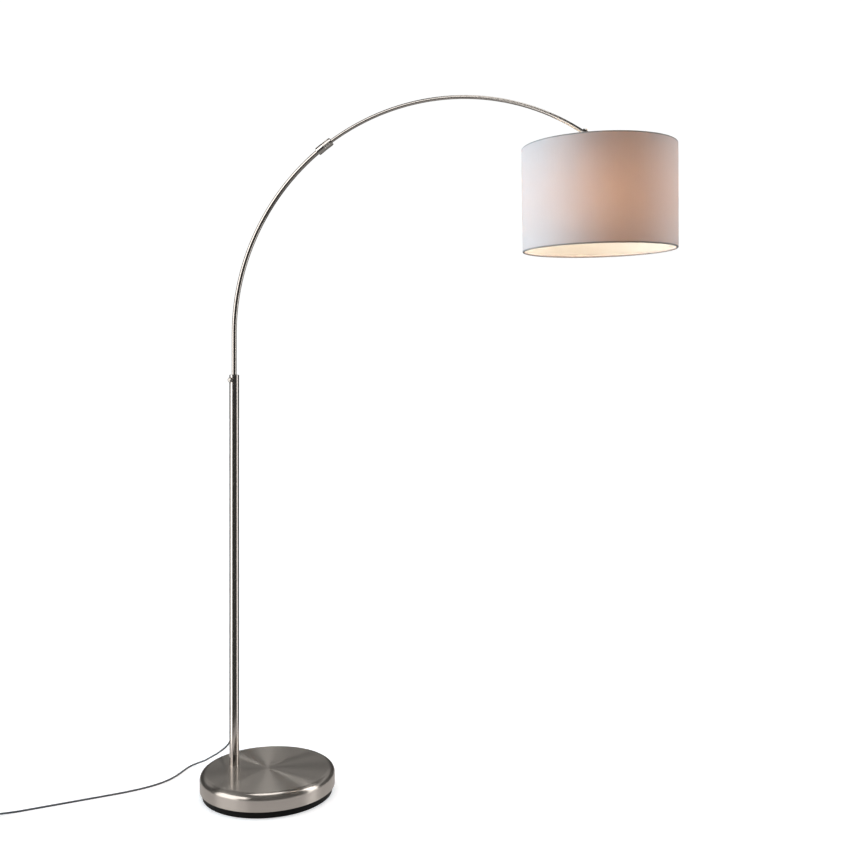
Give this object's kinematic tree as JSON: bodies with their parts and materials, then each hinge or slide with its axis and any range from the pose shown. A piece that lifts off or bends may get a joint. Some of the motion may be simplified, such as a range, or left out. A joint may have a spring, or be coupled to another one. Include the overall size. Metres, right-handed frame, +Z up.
{
  "type": "arc floor lamp",
  "caption": "Arc floor lamp with a weighted round base, a straight pole, a telescoping bow arm and a drum shade on a swivel head.",
  "frame": {"origin": "centre of the round base on the floor", "axes": "+Z up, +X from the base towards the shade in the plane of the bow, +Y completes the right-handed frame"},
  "size_m": [1.8225, 0.6191, 1.8413],
  "materials": {
    "brushed_nickel": "spun satin nickel with radial brushing",
    "satin_nickel": "satin nickel plated tube",
    "polished_nickel": "bright nickel plate",
    "black_plastic": "satin moulded",
    "black_gloss": "gloss moulded phenolic",
    "plug_plastic": "moulded PVC",
    "relief_rubber": "moulded sleeve",
    "cement": "cast cement",
    "foam_rubber": "closed cell sheet",
    "steel_hardware": "zinc plated",
    "nylon": "natural moulded",
    "brass": "drawn",
    "porcelain": "glazed",
    "white_wire": "white enamel",
    "shade_cloth": "off-white woven cloth",
    "shade_liner": "translucent styrene",
    "bulb_glass": "frosted and lit",
    "bulb_cap": "rolled thread",
    "cord_pvc": "smooth round flex"
  },
  "bodies": {
    "stand": {"base_cover": "brushed_nickel", "base_tray": "black_plastic", "base_weight": "cement", "base_pad": "foam_rubber", "pole": "satin_nickel", "pole_foot_plug": "steel_hardware", "base_stud": "steel_hardware", "base_washer": "steel_hardware", "base_nut": "steel_hardware", "pole_top_bush": "black_plastic", "screw_boss": "satin_nickel", "pole_lead": "cord_pvc", "cord_relief": "relief_rubber", "power_cord": "cord_pvc", "switch_lead": "cord_pvc", "cord_coil": "cord_pvc", "plug_lead": "cord_pvc", "coil_tie": "black_plastic", "switch_base": "black_plastic", "switch_cover": "black_plastic", "switch_screws": "steel_hardware", "plug_body": "plug_plastic", "plug_pins": "polished_nickel"},
    "clamp_screw": {"thumb_screw": "polished_nickel"},
    "height_glide": {"stem_glide": "nylon"},
    "lower_bow": {"lower_arc_tube": "satin_nickel", "coupling_sleeve": "polished_nickel", "collet_bush": "nylon", "stem_lead": "cord_pvc"},
    "bow_lock": {"lock_collar": "polished_nickel"},
    "upper_bow": {"upper_arc_tube": "satin_nickel", "arc_glide": "nylon", "bow_lead": "cord_pvc"},
    "head_swivel": {"knuckle_socket": "polished_nickel", "socket_set_screw": "polished_nickel"},
    "lamp_head": {"knuckle_fork": "polished_nickel", "knuckle_pin": "steel_hardware", "knuckle_washers": "steel_hardware", "holder_nipple": "brass", "holder_cap": "black_gloss", "holder_body": "black_gloss", "holder_insert": "porcelain", "contact_shell": "brass", "centre_contact": "brass", "shade_ring_nut": "black_gloss", "shade_spider": "white_wire", "shade_bottom_ring": "white_wire", "shade_fabric": "shade_cloth", "shade_liner": "shade_liner", "bulb_glass": "bulb_glass", "bulb_cap": "bulb_cap", "bulb_contact": "brass"},
    "tilt_lock": {"tilt_knob": "polished_nickel"},
    "foot_button": {"switch_button": "black_gloss"}
  },
  "joints": [
    {"name": "arm_height", "type": "slide", "parent": "stand", "child": "height_glide", "axis": [0, 0, 1], "range_m": [-0.095, 0.15]},
    {"name": "arm_swivel", "type": "hinge", "parent": "height_glide", "child": "lower_bow", "pos_m": [-0.1, 0, 1], "axis": [0, 0, 1], "range_deg": [-170, 170]},
    {"name": "bow_telescope", "type": "hinge", "parent": "lower_bow", "child": "upper_bow", "pos_m": [0.497, 0, 1.2395], "axis": [0, 1, 0], "range_deg": [-28, 8]},
    {"name": "bow_lock_turn", "type": "hinge", "parent": "lower_bow", "child": "bow_lock", "pos_m": [0.17143, 0, 1.73991], "axis": [0.8382, 0, 0.5453], "range_deg": [-90, 90]},
    {"name": "head_roll", "type": "hinge", "parent": "upper_bow", "child": "head_swivel", "pos_m": [0.85795, 0, 1.71503], "axis": [0.7965, 0, -0.6046], "range_deg": [-25, 25]},
    {"name": "shade_tilt", "type": "hinge", "parent": "head_swivel", "child": "lamp_head", "pos_m": [0.88551, 0, 1.69278], "axis": [0.0533, 0.9966, 0.0622], "range_deg": [-25, 25]},
    {"name": "tilt_knob_turn", "type": "hinge", "parent": "lamp_head", "child": "tilt_lock", "pos_m": [0.88551, 0, 1.69278], "axis": [0.0533, 0.9966, 0.0622], "continuous": true},
    {"name": "clamp_screw_turn", "type": "hinge", "parent": "stand", "child": "clamp_screw", "pos_m": [-0.1, 0, 1.114], "axis": [-0.0349, -0.9994, 0], "continuous": true},
    {"name": "switch_press", "type": "slide", "parent": "stand", "child": "foot_button", "axis": [0, 0, -1], "range_m": [0, 0.0025], "stiffness_N_per_m": 600, "springref_m": -0.001}
  ]
}
